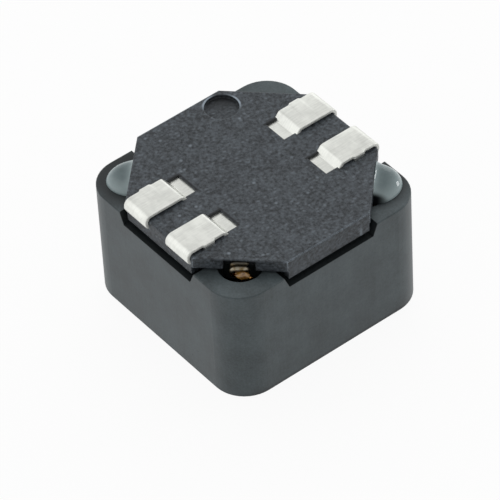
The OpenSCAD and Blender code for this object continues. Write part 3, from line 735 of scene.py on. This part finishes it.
# height falls as (1 - r ** 3) ** 0.62 from the middle to the rim; the rim's radius wavers with the angle
def addDrop(name, replaced, d, form):
    r = np.sin(np.linspace(0, 1, form["rows"]) * np.pi / 2)[:, None]
    turn = np.linspace(0, 2 * np.pi, form["columns"], endpoint=False)[None, :]
    waver = 1 + form["waver"] * (np.sin(2 * turn + d["corner"]) + 0.6 * np.sin(3 * turn + 1.0) - 0.8)
    out = np.maximum(d["out"] * waver * r * np.cos(turn), form["off"])
    q = d["shift"] + d["along"] * waver * r * np.sin(turn)
    inner, outer = form["bulge"]
    fall = np.clip(1 - r ** inner, 0, 1) ** outer
    byPlate = np.exp(-out / form["cling"])
    climb = d["climb"] * byPlate * (1 + d["lean"] * r * np.sin(turn))
    z = body["hornTop"] + form["lift"] + fall * (d["high"] + climb)
    # painted shade where the drop lies over the open well
    hollowShade = ease(np.clip((-q - d["well"]) / form["wellFade"], 0, 1))
    hollowShade = hollowShade * ease(np.clip(form["wellOut"] - out, 0, 1))
    # painted highlight, strongest at the rim and in the band by the plate
    rim = np.clip(r ** form["rimPower"] * form["rimShare"] + byPlate * form["clingShare"], 0, 1)
    top = atCorner(d["corner"], body["cornerHalf"] + out, q, z)
    middle = np.full_like(out[-1:], body["cornerHalf"] + form["off"])
    foot = atCorner(d["corner"], middle, np.full_like(q[-1:], d["shift"]), z[-1:])   # closes it below
    paint = {"rim": rim, "hollowShade": hollowShade}
    values = {key: np.concatenate([value, value[-1:]]).ravel() for key, value in paint.items()}
    addPiece(name, [np.concatenate([top, foot])], resin, [replaced], values)


addDrop("epoxyDropLeft", "epoxy_left", leftDrop, dropForm)
addDrop("epoxyDropRight", "epoxy_right", rightDrop, dropForm)
print("epoxy drops made")

# the CAD nodes that show as they are get their finish
for name, finish in [("ring_core", ferrite), ("drum_core", ferrite), ("base_plate", plate)]:
    nodes[name].data.materials.clear()
    nodes[name].data.materials.append(finish)
print("cores and plate finished")


# pale floor, half its width in metres: the camera and mirrors see it white, the shadow stays
stageLook = {"half": 0.30, "albedo": 0.82, "uneven": 0.02, "weave": (14.0, 2.0, 0.5), "white": 0.93}


def stageFinish(look):
    f = Finish("paleSweep")
    low, high = grey(look["albedo"] - look["uneven"]), grey(look["albedo"] + look["uneven"])
    matt = f.node("ShaderNodeBsdfDiffuse", None, {"Color": f.blend(f.noise(*look["weave"]), low, high)})
    glow = f.node("ShaderNodeEmission", None, {"Color": grey(1.0), "Strength": 1.0})
    rays = ("Is Camera Ray", "Is Transmission Ray", "Is Glossy Ray")
    camera, through, glossy = [f.node("ShaderNodeLightPath", out=ray) for ray in rays]
    seen = f.most(f.most(camera, through) * look["white"], glossy)
    both = f.node("ShaderNodeMixShader", None, {0: seen, 1: matt, 2: glow})
    f.node("ShaderNodeOutputMaterial", None, {"Surface": both})
    return f.material


floorMesh = bpy.data.meshes.new("floorSweep")
reach = stageLook["half"]
floorCorners = [(-reach, -reach, 0), (reach, -reach, 0), (reach, reach, 0), (-reach, reach, 0)]
floorMesh.from_pydata(floorCorners, [], [(0, 1, 2, 3)])
floorMesh.materials.append(stageFinish(stageLook))
floorSweep = bpy.data.objects.new("floorSweep", floorMesh)
bpy.context.scene.collection.objects.link(floorSweep)


# even pale room: its strength on the object, in mirrors, and as the camera sees it, where 1 is white
roomLook = {"level": 0.52, "mirrored": 0.83, "seen": 1.0}


def makeRoom(look):
    world = bpy.data.worlds.new("paleRoom")
    world.use_nodes = True
    tree = world.node_tree
    tree.nodes.clear()
    path, seen = tree.nodes.new("ShaderNodeLightPath"), None
    for kind, ray in (("level", None), ("mirrored", "Is Glossy Ray"), ("seen", "Is Camera Ray")):
        shade = tree.nodes.new("ShaderNodeBackground")
        shade.inputs["Color"].default_value = grey(1.0)
        shade.inputs["Strength"].default_value = look[kind]
        if ray:
            pick = tree.nodes.new("ShaderNodeMixShader")
            tree.links.new(path.outputs[ray], pick.inputs[0])
            tree.links.new(seen, pick.inputs[1])
            tree.links.new(shade.outputs[0], pick.inputs[2])
            shade = pick
        seen = shade.outputs[0]
    tree.links.new(seen, tree.nodes.new("ShaderNodeOutputWorld").inputs["Surface"])
    bpy.context.scene.world = world


# round lamps: place and width in metres, power in watts, and whether mirrors show them
lamps = {"keySoftbox": {"place": (-0.35, 0.26, 0.42), "width": 0.80, "power": 2.3, "mirrored": False},
         "lowCard": {"place": (-0.28, -0.32, 0.22), "width": 0.62, "power": 0.3, "mirrored": True},
         "backCard": {"place": (-0.374, 0.374, 0.152), "width": 0.34, "power": 0.13, "mirrored": True},
         "sparkLamp": {"place": (0.090, 0.476, 0.112), "width": 0.16, "power": 0.34, "mirrored": True}}
lampAim = Vector((0, 0, 0.004))


def addLamp(name, look):
    data = bpy.data.lights.new(name, "AREA")
    data.shape, data.size, data.energy = "DISK", look["width"], look["power"]
    lamp = bpy.data.objects.new(name, data)
    lamp.location = look["place"]
    lamp.rotation_euler = (lampAim - Vector(look["place"])).to_track_quat("-Z", "Y").to_euler()
    lamp.visible_glossy = look["mirrored"]
    bpy.context.scene.collection.objects.link(lamp)


makeRoom(roomLook)
for name, look in lamps.items():
    addLamp(name, look)
print("stage and lamps made")


# camera from the photo: turned az degrees round, el above the horizon, rolled, aimed a little off the middle,
# distances in millimetres and the clipping in metres
shot = {"az": 53.44, "el": 44.21, "roll": 3.31, "far": 213.5, "target": (0.0, 0.0, 3.416),
        "aside": (-0.292, -0.664), "lens": 306.6, "sensor": 36.0, "clip": (0.01, 10.0)}


def addCamera(s):
    az, el, roll = np.radians([s["az"], s["el"], s["roll"]])
    back = np.array([np.sin(az) * np.cos(el), -np.cos(az) * np.cos(el), np.sin(el)])
    right = np.array([np.cos(az), np.sin(az), 0.0])
    up = np.cross(back, right)
    rolledRight = right * np.cos(roll) - up * np.sin(roll)
    rolledUp = right * np.sin(roll) + up * np.cos(roll)
    eye = np.array(s["target"]) + back * s["far"]
    aim = np.array(s["target"]) + rolledRight * s["aside"][0] + rolledUp * s["aside"][1]
    axisZ = unit(eye - aim)
    axisX = unit(np.cross(rolledUp, axisZ))
    place = np.eye(4)
    place[:3] = np.column_stack([axisX, np.cross(axisZ, axisX), axisZ, eye * mm])
    data = bpy.data.cameras.new("photoCamera")
    data.sensor_width, data.lens = s["sensor"], s["lens"]
    data.clip_start, data.clip_end = s["clip"]
    camera = bpy.data.objects.new("photoCamera", data)
    camera.matrix_world = Matrix(place.tolist())
    bpy.context.scene.collection.objects.link(camera)
    bpy.context.scene.camera = camera


addCamera(shot)
bpy.context.scene.view_settings.view_transform = "Standard"

print("scene ready")
